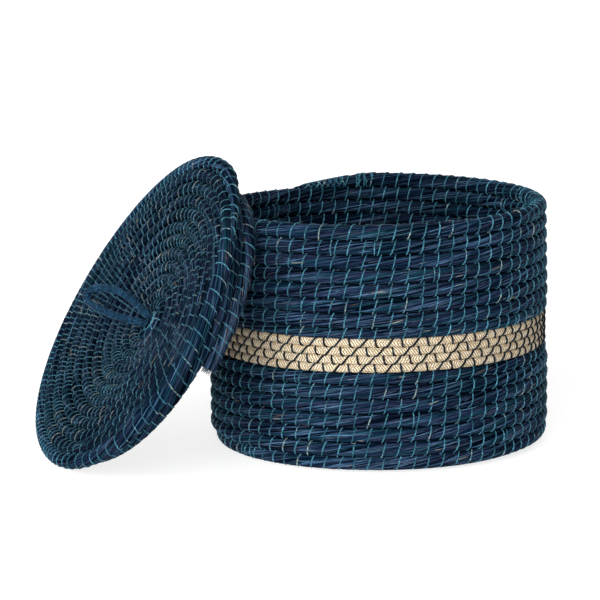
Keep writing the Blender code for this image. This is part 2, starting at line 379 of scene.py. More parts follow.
class Coil:
    """One long coil against turns: its middle line, its section's two directions and its radius.

    pinch is how much fuller it is between two stitches, as a share of its radius.
    """

    def __init__(self, turns, centre, out, over, radius, pinch):
        self.turns = turns
        self.pinch = pinch
        self.columns = np.column_stack([centre, out, over, radius])
        steps = np.linalg.norm(np.diff(centre, axis=0), axis=1)
        self.length = np.concatenate([[0], np.cumsum(steps)])
        self.reach = np.hypot(centre[:, 0], centre[:, 1])

    def at(self, turns):
        """Middle, outward direction, direction to the next row, and radius, at some turns."""
        found = [np.interp(turns, self.turns, column) for column in self.columns.T]
        centre, out, over = (np.column_stack(found[first : first + 3]) for first in (0, 3, 6))
        return centre, out, over, found[9]

    def along(self, turns):
        """How far along the coil some turns are."""
        return np.interp(turns, self.turns, self.length)


def level(angle):
    """Level directions, one for each angle."""
    return np.column_stack([np.cos(angle), np.sin(angle), np.zeros(len(angle))])


def round_coil(out, over, angle):
    """Directions square to a coil, turned by angle from its outward ones."""
    return out * np.cos(angle)[:, None] + over * np.sin(angle)[:, None]


def filled(share):
    """How thick a tapering end is, from its tip to its full size."""
    return TIP_SHARE + (1 - TIP_SHARE) * np.clip(share, 0, 1)


def wound(turns, thickness_at, first_edge_at):
    """Turns, middle and thickness along a coil. After its first turn, each row lies on the row before."""
    turn = np.arange(round(turns * FINE_STEPS) + 1) / FINE_STEPS
    thickness = thickness_at(turn)
    edge = first_edge_at(turn)
    for start in range(FINE_STEPS, len(turn), FINE_STEPS):
        end = min(start + FINE_STEPS, len(turn))
        before = slice(start - FINE_STEPS, end - FINE_STEPS)
        edge[start:end] = edge[before] + thickness[before]
    return turn, edge + thickness / 2, thickness


def basket_angle(turn):
    """Where a turn of the basket's coil is, round its axis."""
    return COIL_SEAM_ANGLE + (turn - BRAID_START) * TAU


def lid_angle(turn):
    """Where a turn of the lid's coil is, round the lid's middle."""
    return LID_SEAM_ANGLE + (LID_TURNS - turn) * TAU


def basket_coil():
    """The whole basket's coil: the spiral base, the turn up its edge, and the wall to the rim's tail."""

    def thickness_at(turn):
        share = np.where(turn < BRAID_START, BRAID_START - turn, turn - UPPER_START)
        thickness = BRAID_COIL + (GRASS_COIL - BRAID_COIL) * np.clip(share, 0, 1)
        return thickness * filled((RIM_END - turn) / RIM_TAIL_TURNS)

    turn, travel, thickness = wound(RIM_END, thickness_at, lambda turn: BASE_EYE + GRASS_COIL * turn)
    flat = WALL_RADIUS - CORNER_RADIUS
    corner = math.pi / 2 * GRASS_COIL / (2 * math.asin(GRASS_COIL / (2 * CORNER_RADIUS)))
    slope = np.clip((travel - flat) / corner, 0, 1) * math.pi / 2
    rise = np.maximum(0, travel - flat - corner)
    height = BASE_HEIGHT + CORNER_RADIUS * (1 - np.cos(slope)) + rise
    lean = np.clip((height - LEAN_HEIGHT) / LEAN_RISE, 0, 1)
    radius = np.minimum(travel, flat) + CORNER_RADIUS * np.sin(slope) + (RIM_RADIUS - WALL_RADIUS) * lean
    radial = level(basket_angle(turn))
    sine, cosine = np.sin(slope)[:, None], np.cos(slope)[:, None]
    centre = radial * radius[:, None] + UP * height[:, None]
    out, over = radial * sine - UP * cosine, radial * cosine + UP * sine
    return Coil(turn, centre, out, over, thickness / 2, WALL_PINCH)


def base_height(radius, angle):
    """Height of the base's coil, which lies level."""
    return np.full(len(radius), BASE_HEIGHT)


def lid_height(radius, angle):
    """Height of the lid's coil over the plane of its edge: a dish, with a slight twist."""
    share = (radius / LID_RADIUS) ** 2
    return LID_WARP * share * np.cos(2 * (angle - LID_WARP_ANGLE)) - LID_DISH * np.maximum(0, 1 - share) ** 2


def lid_coil():
    """The lid's spiral in the lid's own place, clockwise seen from its top face."""
    turn, radius, thickness = wound(
        LID_TURNS,
        lambda turn: LID_COIL * filled((LID_TURNS - turn) / LID_TAIL_TURNS),
        lambda turn: LID_EYE + LID_COIL * turn,
    )
    angle = lid_angle(turn)
    radial = level(angle)
    out = np.broadcast_to(UP, radial.shape)
    centre = radial * radius[:, None] + UP * lid_height(radius, angle)[:, None]
    return Coil(turn, centre, out, radial, thickness / 2, LID_PINCH)


def flange_coil():
    """The coil sewn under the lid's edge, in the lid's own place. Its second row lies under its first."""
    turn, drop, thickness = wound(
        FLANGE_TURNS,
        lambda turn: FLANGE_COIL * filled(turn / FLANGE_LEAD_TURNS),
        lambda turn: FLANGE_FALL * turn,
    )
    angle = FLANGE_SEAM_ANGLE - turn * TAU
    radial = level(angle)
    down = np.broadcast_to(-UP, radial.shape)
    top = lid_height(FLANGE_RADIUS, angle) - LID_COIL / 2 + FLANGE_NEST
    centre = radial * FLANGE_RADIUS + down * (drop - top)[:, None]
    return Coil(turn, centre, radial, down, thickness / 2, LID_PINCH)


def lid_place():
    """The lid's own place in the world, found from the knot at its middle."""
    across = Vector((-math.sin(LID_FACE_ANGLE), math.cos(LID_FACE_ANGLE), 0))
    flat = math.cos(LID_FACE_RISE)
    out = Vector((flat * math.cos(LID_FACE_ANGLE), flat * math.sin(LID_FACE_ANGLE), math.sin(LID_FACE_RISE)))
    turned = Matrix((across, out.cross(across), out)).transposed()
    low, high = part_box("lid_start_knot")
    return Matrix.Translation((low + high) / 2 + out * LID_DISH) @ turned.to_4x4()


def sewn(coil, start, end, spacing_at, rng):
    """Turns of the stitches from start to end.

    Each stands over one in the row before, and a gap that gets too wide has one more stitch in it.
    """
    first = np.arange(FIRST_STITCHES) / FIRST_STITCHES
    stitches = list(first)
    for before in stitches:
        after = before + 1 + ROW_SHIFT_TURNS
        if after > coil.turns[-1]:
            break
        reach = np.interp(after, coil.turns, coil.reach)
        if (after - stitches[-1]) * TAU * reach > spacing_at(after, reach) * WIDEST_GAP_SHARE:
            stitches.append((after + stitches[-1]) / 2)
        stitches.append(after)
    even = np.array(stitches)
    for _ in range(EVENING_ROUNDS):
        even[1:-1] = (even[:-2] + 2 * even[1:-1] + even[2:]) / 4
    gaps = np.diff(even)
    even[1:] += rng.uniform(-STITCH_JITTER_SHARE, STITCH_JITTER_SHARE, len(gaps)) * gaps
    doubled = even[rng.random(len(even)) < DOUBLED_SHARE] + DOUBLED_GAP_TURNS
    even = np.sort(np.concatenate([even, doubled]))
    return even[(even >= start) & (even <= end)]


def uneven(slant, rng):
    """Some slants near the given one, for stitches that don't all lean alike."""
    return slant * (1 + rng.uniform(-SLANT_JITTER_SHARE, SLANT_JITTER_SHARE, SLANTS))


def pinched(coil, stitches, turns):
    """The bundle's radius, drawn in where a stitch crosses it."""
    number = np.interp(turns, stitches, np.arange(len(stitches)))
    drawn = (0.5 + 0.5 * np.cos(TAU * (number - PINCH_AT))) ** 2
    return coil.at(turns)[3] * (1 + coil.pinch * (1 - drawn))


def wrapped(coil, stitches, thread, slant, back_slant, dip=DIP, hooks=0.0):
    """A thread round a coil: at each stitch it crosses the coil's face, then its back.

    slant and back_slant are the shares of the gap that it goes ahead there; the grooves take the rest.
    hooks is how many turns ahead of its stitch the thread comes up, so that it hooks back along the groove.
    """
    wraps = np.arange((len(stitches) - 1) * SAMPLES_PER_WRAP + 1) / SAMPLES_PER_WRAP
    number = np.minimum(wraps.astype(int), len(stitches) - 2)
    share = wraps - number
    front, back = (np.take(each, number, mode="wrap") for each in (slant, back_slant))
    rest = (1 - front - back) / 2
    stages = (
        (REST_SHARE, rest / 2),
        (FACE_SHARE, front),
        (2 * REST_SHARE, rest),
        (FACE_SHARE, back),
        (REST_SHARE, rest / 2),
    )
    part = np.zeros(len(share))
    begun = 0
    for stage, way in stages:
        part += np.clip((share - begun) / stage, 0, 1) * way
        begun += stage
    turns = stitches[number] + part * (stitches[number + 1] - stitches[number])
    here, ahead = (np.take(hooks, number + step, mode="wrap") for step in (0, 1))
    turns += here * np.clip(1 - share / HOOK_FALL_SHARE, 0, 1)
    turns += ahead * np.clip(1 - (1 - share) / HOOK_RISE_SHARE, 0, 1)
    centre, out, over, _ = coil.at(turns)
    angle = TAU * share - math.pi / 2
    reach = pinched(coil, stitches, turns) + thread * (1 - 2 * THREAD_SINK_SHARE)
    reach += dip * np.maximum(0, -np.sin(angle)) ** 4
    return centre + round_coil(out, over, angle) * reach[:, None]


def lengths(points):
    """How far along a line each of its points is."""
    return np.concatenate([[0], np.cumsum(np.linalg.norm(np.diff(points, axis=0), axis=1))])


def catmull_rom(points, per_span):
    """A smooth curve through the points, which starts and ends on the first and the last."""
    padded = np.vstack([2 * points[0] - points[1], points, 2 * points[-1] - points[-2]])
    share = (np.arange(per_span) / per_span)[:, None]
    spans = []
    for before, here, there, after in zip(padded, padded[1:], padded[2:], padded[3:]):
        bend = 2 * before - 5 * here + 4 * there - after
        twist = 3 * here - before - 3 * there + after
        spans.append(here + (share * (there - before) + share**2 * bend + share**3 * twist) / 2)
    return np.vstack([*spans, points[-1:]])


def section(sides, flatness):
    """The outline of a tube's section: round at 2, and flatter on its four sides above that."""
    angle = -np.arange(sides) / sides * TAU
    across, up = np.cos(angle), np.sin(angle)
    outline = np.zeros((sides, 4))
    outline[:, 0] = np.sign(across) * np.abs(across) ** (2 / flatness)
    outline[:, 1] = np.sign(up) * np.abs(up) ** (2 / flatness)
    outline[:, 3] = 1
    curve = bpy.data.curves.new("section", "CURVE")
    curve.dimensions = "2D"
    spline = curve.splines.new("POLY")
    spline.points.add(sides - 1)
    spline.points.foreach_set("co", outline.ravel())
    spline.use_cyclic_u = True
    guide = bpy.data.objects.new("section", curve)
    bpy.context.scene.collection.objects.link(guide)
    return guide


def make_tubes(name, strands, sides, material, body, place=None, flatness=2.0, twist="MINIMUM", settle=True):
    """One mesh of tubes, each given by its points and radii. Its UV map holds metres along and turns round.

    settle lifts what would sink into the floor.
    """
    outline = section(sides, flatness)
    curve = bpy.data.curves.new(name, "CURVE")
    curve.dimensions = "3D"
    curve.twist_mode = twist
    curve.bevel_mode = "OBJECT"
    curve.bevel_object = outline
    curve.use_fill_caps = True
    for points, radii in strands:
        spline = curve.splines.new("POLY")
        spline.points.add(len(points) - 1)
        spline.points.foreach_set("co", np.column_stack([points, np.ones(len(points))]).ravel())
        spline.points.foreach_set("radius", np.broadcast_to(radii, len(points)).astype(float))
        spline.use_smooth = True
    guide = bpy.data.objects.new(name, curve)
    bpy.context.scene.collection.objects.link(guide)
    graph = bpy.context.evaluated_depsgraph_get()
    mesh = bpy.data.meshes.new_from_object(guide.evaluated_get(graph), depsgraph=graph)
    for each in (guide, outline):
        data = each.data
        bpy.data.objects.remove(each)
        bpy.data.curves.remove(data)
    if not mesh.polygons:
        raise RuntimeError(f"{name} has no faces")

    lay = mesh.uv_layers[0]
    lay.name = LAY
    spots = np.empty(len(mesh.loops) * 2)
    lay.uv.foreach_get("vector", spots)
    spots = spots.reshape(-1, 2)
    # The corners of the end caps come first, then those of the tubes, whose faces have four corners
    corners = [(len(points) - 1) * sides * 4 for points, _ in strands]
    first = len(spots) - sum(corners)
    for number, ((points, _), count) in enumerate(zip(strands, corners)):
        along = lengths(points)
        mine = spots[first : first + count, 0]
        mine[:] = np.interp(mine, np.linspace(0, 1, len(along)), along) + number * STRAND_OFFSET
        first += count
    lay.uv.foreach_set("vector", spots.ravel())

    if place is not None:
        mesh.transform(place)
    if settle:
        spots = np.empty(len(mesh.vertices) * 3)
        mesh.vertices.foreach_get("co", spots)
        spots[2::3] = np.maximum(spots[2::3], SETTLED_HEIGHT)
        mesh.vertices.foreach_set("co", spots)
    mesh.shade_smooth()
    mesh.materials.clear()
    mesh.materials.append(material)
    mesh.name = name
    piece = bpy.data.objects.new(name, mesh)
    bpy.context.scene.collection.objects.link(piece)
    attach(piece, body)
    return piece


def make_bundle(name, coil, start, end, stitches, material, body, place=None):
    """A stretch of a coil as a bundle that is drawn in at each stitch."""
    count = (len(stitches) - 1) * SAMPLES_PER_STITCH
    turns = np.interp(np.arange(count) / SAMPLES_PER_STITCH, np.arange(len(stitches)), stitches)
    turns = np.concatenate([[start], turns[(turns > start) & (turns < end)], [end]])
    centre = coil.at(turns)[0]
    radii = pinched(coil, stitches, turns)
    return make_tubes(name, [(centre, radii)], BUNDLE_SIDES, material, body, place, FLAT_SIDES, "Z_UP")


def lying_strands(coil, stitches, span, count, rng, facing, spread, longest, thick, lift):
    """Single strands of grass on a coil.

    Each comes out of the bundle, follows its lay and may lift off at its end.
    """
    strands = []
    share = np.linspace(0, 1, STRAND_POINTS)
    for start in rng.uniform(*span, count):
        travel = share * longest * rng.uniform(*STRAND_LENGTH_SHARES)
        turns = np.interp(coil.along(start) + travel, coil.length, coil.turns)
        centre, out, over, _ = coil.at(turns)
        angle = facing + rng.uniform(-spread, spread) + travel * rng.uniform(*STRAND_LAYS)
        root = thick * STRAND_ROOT_DEPTH_SHARE * np.maximum(0, 1 - share * STRAND_ROOTS)
        lifted = lift * rng.uniform(*STRAND_LIFT_SHARES) ** 3 * share**3
        height = pinched(coil, stitches, turns) - root + lifted
        taper = np.clip(np.minimum(share, 1 - share) * STRAND_TIPS, STRAND_TIP_SHARE, 1)
        line = centre + round_coil(out, over, angle) * height[:, None]
        strands.append((line, thick * rng.uniform(*STRAND_THICKNESS_SHARES) * taper))
    return strands


def frayed(coil, turn, rng):
    """The ends of grass where a coil stops, which stick out of its bundle and spread."""
    (before, middle), (_, out), (_, over), (_, radius) = coil.at(np.array([turn - FRAYED_STEP_TURNS, turn]))
    ahead = (middle - before) / np.linalg.norm(middle - before)
    share = np.linspace(0, 1, STRAND_POINTS)[:, None]
    strands = []
    for angle in rng.uniform(0, TAU, FRAYED_ENDS):
        side = out * math.cos(angle) + over * math.sin(angle)
        start = middle + side * radius * rng.uniform(*FRAYED_SIDE_SHARES) - ahead * FRAYED_ROOT
        reach = FRAYED_LENGTH * rng.uniform(*FRAYED_LENGTH_SHARES)
        bend = side * rng.uniform(*FRAYED_BEND_SHARES)
        bend = bend + out * rng.normal(0, FRAYED_SCATTER) + over * rng.normal(0, FRAYED_SCATTER)
        points = start + ahead * (reach + FRAYED_ROOT) * share + bend * FRAYED_SPREAD * reach * share**2
        thick, thin = FRAYED_TIP_SHARES
        strands.append((points, FRAYED_THICKNESS * np.clip(thick - share[:, 0], thin, 1)))
    return strands


class Value:
    """A shader socket that takes part in sums, so that a material reads as a formula."""

    def __init__(self, tree, socket=None):
        self.tree = tree
        self.socket = socket

    def node(self, kind, settings=None, inputs=None, output=0):
        """A node: its settings are set first, then its sockets get their values or links."""
        made = self.tree.nodes.new(kind)
        for name, setting in (settings or {}).items():
            setattr(made, name, setting)
        for key, given in (inputs or {}).items():
            if isinstance(given, Value):
                self.tree.links.new(given.socket, made.inputs[key])
            else:
                made.inputs[key].default_value = given
        return Value(self.tree, made.outputs[output])

    def maths(self, operation, first, second=0.0):
        """One sum, product or function of numbers."""
        return self.node("ShaderNodeMath", {"operation": operation}, {0: first, 1: second})

    def __add__(self, other):
        return self.maths("ADD", self, other)

    def __radd__(self, other):
        return self.maths("ADD", other, self)

    def __sub__(self, other):
        return self.maths("SUBTRACT", self, other)

    def __rsub__(self, other):
        return self.maths("SUBTRACT", other, self)

    def __mul__(self, other):
        return self.maths("MULTIPLY", self, other)

    def __rmul__(self, other):
        return self.maths("MULTIPLY", other, self)

    def cosine(self):
        return self.maths("COSINE", self)

    def sine(self):
        return self.maths("SINE", self)

    def between(self, low, high):
        """0 where this is under low, 1 where it is over high, and a smooth step between."""
        return self.node(
            "ShaderNodeMapRange",
            {"interpolation_type": "SMOOTHSTEP"},
            {"Value": self, "From Min": low, "From Max": high},
        )

    def mixed(self, first, second):
        """The first colour where this is 0, and the second where it is 1."""
        return self.node("ShaderNodeMix", {"data_type": "RGBA"}, {0: self, 6: first, 7: second}, 2)

    def axis(self, letter):
        """One part of a vector or a colour."""
        return self.node("ShaderNodeSeparateXYZ", None, {"Vector": self}, letter)

    def bumped(self, depth, strength=1.0):
        """A normal from this height, where 1 stands depth metres over 0."""
        return self.node("ShaderNodeBump", None, {"Height": self, "Strength": strength, "Distance": depth})


def rgba(colour):
    """A colour as its socket takes it."""
    return (*colour, 1.0)


def new_material(name, looks_like):
    """A Principled material.

    looks_like gives its inputs by name, from metres along and turns round a tube.
    """
    material = bpy.data.materials.new(name)
    material.use_nodes = True
    tree = material.node_tree
    shader = tree.nodes["Principled BSDF"]
    maker = Value(tree)
    place = maker.node("ShaderNodeUVMap", {"uv_map": LAY})
    for key, given in looks_like(maker, place.axis("X"), place.axis("Y")).items():
        if isinstance(given, Value):
            tree.links.new(given.socket, shader.inputs[key])
        else:
            shader.inputs[key].default_value = given
    return material


def drawn_out(maker, along, angle, long, fine, seed=0.0):
    """A place for a texture that is drawn out along a tube and closed round it."""
    spot = {0: along * long + seed, 1: angle.cosine() * fine, 2: angle.sine() * fine}
    return maker.node("ShaderNodeCombineXYZ", None, spot)


def fibres(maker, along, angle, long, fine, detail=3.0, seed=0.0):
    """Noise drawn out along a tube."""
    spot = drawn_out(maker, along, angle, long, fine, seed)
    look = {"Vector": spot, "Scale": 1.0, "Detail": detail, "Roughness": NOISE_ROUGHNESS}
    return maker.node("ShaderNodeTexNoise", None, look)


def dyed_grass(name, looks, row_before, last_row=math.inf, painted_row_shade=0.0, inside=0.0):
    """Grass in long strands that turn round their bundle, darkened with painted shade where it touches the
    rows on both sides.

    row_before is the side of the row before, and from last_row on nothing lies on the other side any more.
    dusk is how much painted shade darkens the rows before that, and inside how much painted shade darkens
    a wall's inner side.
    """

    def looks_like(maker, along, around):
        angle = around * TAU + along * looks.grass_lay
        cells = {"Vector": drawn_out(maker, along, angle, *GRASS_CELLS), "Scale": 1.0}
        picked = maker.node("ShaderNodeTexVoronoi", None, cells, "Color")
        edge = maker.node("ShaderNodeTexVoronoi", None, cells, "Distance")
        chance, hue = picked.axis("X"), picked.axis("Y")
        fine = fibres(maker, along, angle, *GRASS_FIBRES, seed=3.0)
        tone = fibres(maker, along, angle, *GRASS_TONES, seed=11.0)

        body = chance.between(*GRASS_MIDDLE_CHANCE).mixed(rgba(looks.grass_dark), rgba(looks.grass_middle))
        turned = hue.between(*GRASS_VIOLET_CHANCE) * tone.between(*GRASS_VIOLET_TONE)
        violet = turned.mixed(body, rgba(looks.grass_violet))
        teal = (1.0 - hue.between(*GRASS_TEAL_CHANCE)).mixed(violet, rgba(looks.grass_teal))
        # Lighter strands with painted sheen, and painted highlights where the fine fibres stand up
        bright = chance.between(*GRASS_LIGHT_CHANCE) * fine.between(*GRASS_LIGHT_FIBRE)
        painted_fibre_highlight = fine.between(*GRASS_PAINTED_HIGHLIGHT_FIBRE) * GRASS_PAINTED_HIGHLIGHT_SHARE
        light = (bright + painted_fibre_highlight).mixed(teal, rgba(looks.grass_light))

        # Painted shade on sunk fibres and at the sunk edges between strands
        sunk_fibre_shade = 1.0 - fine.between(*GRASS_DIM_FIBRE)
        gap = edge.between(*GRASS_GAP) * GRASS_GAP_SHADE_SHARE + sunk_fibre_shade * GRASS_SUNK_FIBRE_SHADE_SHARE
        side = ((around - row_before) * TAU).cosine()
        covered = 1.0 - along.between(last_row - LAST_ROW_FADE, last_row) if last_row < math.inf else 1.0
        # Painted shade in the grooves where the bundle touches the row before and the row after
        groove = (side.between(*GROOVE) + (side * -1.0).between(*GROOVE) * covered) * GROOVE_PAINTED_SHADE
        # Painted shade on the inner side of the wall's rows
        inner = ((around - TO_THE_LEFT) * TAU).cosine().between(*INNER_PAINTED_SHADE_SIDE)
        # How bright the grass stays after the painted shade of sunk fibres, strand edges, grooves, inner rows
        # and inner side
        painted_shade_and_tone = (1.0 - gap) * (1.0 - groove) * (1.0 - painted_row_shade * covered) * (1.0 - inside * inner)
        height = fine * GRASS_FIBRE_HEIGHT - edge * GRASS_GAP_HEIGHT
        return {
            "Base Color": (1.0 - painted_shade_and_tone).mixed(light, rgba(looks.grass_dark)),
            "Roughness": GRASS_ROUGHNESS + fine * GRASS_FIBRE_ROUGHNESS + groove * GROOVE_ROUGHNESS,
            "Normal": height.bumped(GRASS_DEPTH),
            "Specular IOR Level": GRASS_GLOSS,
            "Specular Tint": rgba(GRASS_GLOSS_TINT),
        }

    return new_material(name, looks_like)


def loose_grass(name, colour, deep):
    """A single strand of grass, lighter and darker along its length."""

    def looks_like(maker, along, around):
        patch = fibres(maker, along, around * TAU, *LOOSE_PATCHES, detail=2.0)
        fine = fibres(maker, along, around * TAU, *LOOSE_FIBRES, detail=2.0, seed=6.0)
        bright = patch.between(*LOOSE_PATCH) * LOOSE_PATCH_SHARE
        blend = bright + fine.between(*LOOSE_FIBRE) * (1 - LOOSE_PATCH_SHARE)
        return {
            "Base Color": blend.mixed(rgba(deep), rgba(colour)),
            "Roughness": LOOSE_ROUGHNESS + fine * FIBRE_ROUGHNESS,
            "Normal": fine.bumped(LOOSE_DEPTH, LOOSE_BUMP),
            "Specular IOR Level": LOOSE_GLOSS,
        }

    return new_material(name, looks_like)


def sewing_thread(name, main, deep, pale, pale_share, stretches=THREAD_STRETCHES, gloss=THREAD_GLOSS):
    """Twisted thread: each stretch has its own shade between deep and main, with worn pale stretches.

    stretches is how many there are in a metre.
    """

    def looks_like(maker, along, around):
        angle = around * TAU + along * THREAD_TWIST
        patch = fibres(maker, along, angle, stretches, THREAD_ACROSS, detail=1.0)
        worn = fibres(maker, along, angle, THREAD_WORN_STRETCHES, THREAD_ACROSS, detail=2.0, seed=40.0)
        strand = fibres(maker, along, angle, *THREAD_FIBRES, detail=2.0, seed=5.0)
        shade = patch.between(*THREAD_STRETCH).mixed(rgba(deep), rgba(main))
        low = THREAD_WORN_START - pale_share * THREAD_WORN_RANGE
        faded = worn.between(low, low + THREAD_WORN_STEP).mixed(shade, rgba(pale))
        # Painted shade: the thread is darker where its twisted fibres sink in
        dark = rgba([part * THREAD_FIBRE_SHADE_SHARE for part in deep])
        return {
            "Base Color": strand.between(*THREAD_FIBRE).mixed(dark, faded),
            "Roughness": THREAD_ROUGHNESS + strand * FIBRE_ROUGHNESS,
            "Normal": strand.bumped(THREAD_DEPTH, THREAD_BUMP),
            "Specular IOR Level": gloss,
        }

    return new_material(name, looks_like)


def natural_braid(looks):
    """Undyed braid: its fibres slant one way, or both ways in patches, and some stretches turned brown.

    Its rows are darkened with painted shade where they meet.
    """

    def looks_like(maker, along, around):
        angle = around * TAU
        patch = fibres(maker, along, angle, *BRAID_PATCHES, detail=1.0)
        wobble = fibres(maker, along, angle, *BRAID_WOBBLES, detail=2.0, seed=9.0)
        travel = along * looks.braid_pitch + wobble * BRAID_WOBBLE_SHARE
        left = ((travel + around * BRAID_SLANT) * TAU).sine()
        right = ((travel * BRAID_BACK_PITCH_SHARE - around * BRAID_SLANT) * TAU).sine()
        weave = patch.between(*BRAID_PATCH) * (right - left) + left
        tone = fibres(maker, along, angle, *BRAID_TONES, detail=4.0, seed=7.0)
        hatch = weave.between(*BRAID_FIBRE) * tone.between(*BRAID_TONE)
        brown = fibres(maker, along, angle, *BRAID_BROWNS, seed=21.0)
        body = hatch.mixed(rgba(looks.braid_dark), rgba(looks.braid_light))
        warm = (brown.between(*BRAID_BROWN) * BRAID_BROWN_SHARE).mixed(body, rgba(looks.braid_warm))
        # Painted shade at the top and bottom of each row, where it meets the next
        groove_shade = ((around - BELOW) * (2 * TAU)).cosine()
        height = hatch * BRAID_FIBRE_HEIGHT + tone * (1 - BRAID_FIBRE_HEIGHT)
        return {
            "Base Color": (groove_shade.between(*BRAID_GROOVE_SHADE) * BRAID_GROOVE_SHADE_SHARE).mixed(warm, rgba(looks.braid_dark)),
            "Roughness": BRAID_ROUGHNESS + tone * FIBRE_ROUGHNESS,
            "Normal": height.bumped(BRAID_DEPTH),
            "Specular IOR Level": BRAID_GLOSS,
        }

    return new_material("natural_braid", looks_like)


def floor_paint(looks):
    """The floor's dull paint, which shines a little by itself."""
    material = bpy.data.materials.new("pale_floor")
    material.use_nodes = True
    inputs = material.node_tree.nodes["Principled BSDF"].inputs
    inputs["Base Color"].default_value = rgba([part * FLOOR_SHADE for part in looks.floor_colour])
    inputs["Roughness"].default_value = FLOOR_ROUGHNESS
    inputs["Emission Color"].default_value = rgba(looks.floor_colour)
    inputs["Emission Strength"].default_value = FLOOR_GLOW
    return material


def colour_property(name, default, description):
    """A colour that a user may change."""
    return bpy.props.FloatVectorProperty(
        name=name, description=description, default=default, size=3, min=0, max=1, subtype="COLOR"
    )


def length_property(name, default, description):
    """A length in metres that a user may change."""
    return bpy.props.FloatProperty(
        name=name, description=description, default=default, min=0, unit="LENGTH", subtype="DISTANCE"
    )


class BasketLooks(bpy.types.PropertyGroup):
    """Sizes and colours that someone may want to change."""

    stitch_spacing: length_property("Stitch spacing", 0.0118, "Gap between two stitches on the wall")
    lid_stitch_spacing: length_property("Lid stitch spacing", 0.0094, "Stitch gap at the lid's edge")
    thread_thickness: length_property("Thread thickness", 0.0012, "Thickness of the sewing thread")
    handle_thread_thickness: length_property("Handle thread", 0.0015, "Thickness of the handle's thread")
    grass_strand: length_property("Grass strand", 0.0006, "Thickness of a single strand of grass")
    grass_lay: bpy.props.FloatProperty(
        name="Grass lay", description="Radians that the grass turns round its bundle in a metre", default=26.0
    )
    # grass_dark is also the colour that all painted shade on the grass darkens towards
    grass_dark: colour_property("Grass, dark", (0.0004, 0.0018, 0.0045), "Darkest grass")
    grass_middle: colour_property("Grass, middle", (0.0050, 0.0235, 0.058), "Most of the grass")
    grass_violet: colour_property("Grass, violet", (0.020, 0.028, 0.068), "Grass dyed towards violet")
    grass_teal: colour_property("Grass, teal", (0.008, 0.042, 0.064), "Grass dyed towards teal")
    # Lightest strands of the grass, partly their own colour and partly painted sheen
    grass_light: colour_property("Grass, light", (0.100, 0.190, 0.330), "Lightest strands of the grass")
    thread_colour: colour_property("Thread", (0.110, 0.370, 0.510), "Most of the sewing thread")
    thread_deep: colour_property("Thread, deep", (0.020, 0.110, 0.165), "Sewing thread that took more dye")
    thread_pale: colour_property("Thread, pale", (0.360, 0.450, 0.430), "Sewing thread that took less dye")
    # Painted shade: the lid's thread inside its edge row is the teal thread's colours made darker
    lid_thread_colour: colour_property("Lid thread", (0.075, 0.230, 0.310), "Most of the thread on the lid")
    lid_thread_deep: colour_property("Lid thread, deep", (0.012, 0.060, 0.092), "Lid thread with more dye")
    lid_thread_pale: colour_property("Lid thread, pale", (0.220, 0.280, 0.260), "Lid thread with less dye")
    band_thread_colour: colour_property("Band thread", (0.006, 0.024, 0.048), "Thread across the band")
    band_thread_deep: colour_property("Band thread, deep", (0.003, 0.008, 0.016), "Darkest band thread")
    braid_light: colour_property("Braid, light", (0.860, 0.780, 0.600), "Lightest fibres of the braid")
    braid_warm: colour_property("Braid, warm", (0.640, 0.450, 0.240), "Fibres of the braid that turned brown")
    braid_dark: colour_property("Braid, dark", (0.300, 0.200, 0.110), "Shaded fibres of the braid")
    braid_pitch: bpy.props.FloatProperty(
        name="Braid pitch", description="Slanting fibres of the braid in a metre", default=440.0, min=1
    )
    strand_blue: colour_property("Loose strand, blue", (0.110, 0.270, 0.450), "Brightest loose strands")
    strand_soft: colour_property("Loose strand, soft", (0.075, 0.105, 0.170), "Most of the loose strands")
    strand_pale: colour_property("Loose strand, pale", (0.430, 0.410, 0.340), "Loose strands with little dye")
    strand_brown: colour_property("Loose strand, brown", (0.260, 0.120, 0.045), "Loose strands without dye")
    handle_colour: colour_property("Handle", (0.033, 0.128, 0.248), "Thread round the handle")
    handle_deep: colour_property("Handle, deep", (0.012, 0.056, 0.118), "Handle thread that took more dye")
    handle_pale: colour_property("Handle, pale", (0.064, 0.205, 0.350), "Handle thread that took less dye")
    floor_colour: colour_property("Floor", (0.93, 0.93, 0.93), "The floor")


def wall_spacing(looks):
    """Stitches get closer towards the middle of the base."""

    def spacing_at(turn, reach):
        outward = min(1, reach / WALL_RADIUS)
        return looks.stitch_spacing * (MIDDLE_SPACING_SHARE + (1 - MIDDLE_SPACING_SHARE) * outward)

    return spacing_at


def lid_spacing(looks):
    """Stitches get closer towards the middle of the lid, and are furthest apart near the end of its coil."""

    def spacing_at(turn, reach):
        sparse = math.cos(lid_angle(turn) - SPARSE_ANGLE) * SPARSE_SHARE
        outward = LID_MIDDLE_SPACING_SHARE + (1 - LID_MIDDLE_SPACING_SHARE) * min(1, reach / LID_RADIUS)
        return looks.lid_stitch_spacing * outward * (1 + sparse)

    return spacing_at


def teal_thread(name, looks):
    """The thread of the wall, the lid's edge and the knots."""
    return sewing_thread(name, looks.thread_colour, looks.thread_deep, looks.thread_pale, TEAL_PALE_SHARE)


def dark_thread(name, looks, pale):
    """The thread of the band and the handle's core, which don't wear pale."""
    return sewing_thread(name, looks.band_thread_colour, looks.band_thread_deep, pale, 0.0)


def make_loose_grass(name, looks, coil, stitches, span, counts, rng, facing, spread, body, place=None):
    """The single strands that show on a coil, as many of each kind as counts says."""
    thick = looks.grass_strand / 2
    for (kind, longest, lift), count in zip(LOOSE_KINDS, counts):
        colour = getattr(looks, "strand_" + kind)
        strands = lying_strands(coil, stitches, span, count, rng, facing, spread, longest, thick, lift)
        material = loose_grass(f"{name}_{kind}", colour, [part * LOOSE_DEEP_SHARE for part in colour])
        piece = make_tubes(f"{name}_{kind}_strands", strands, STRAND_SIDES, material, body, place)


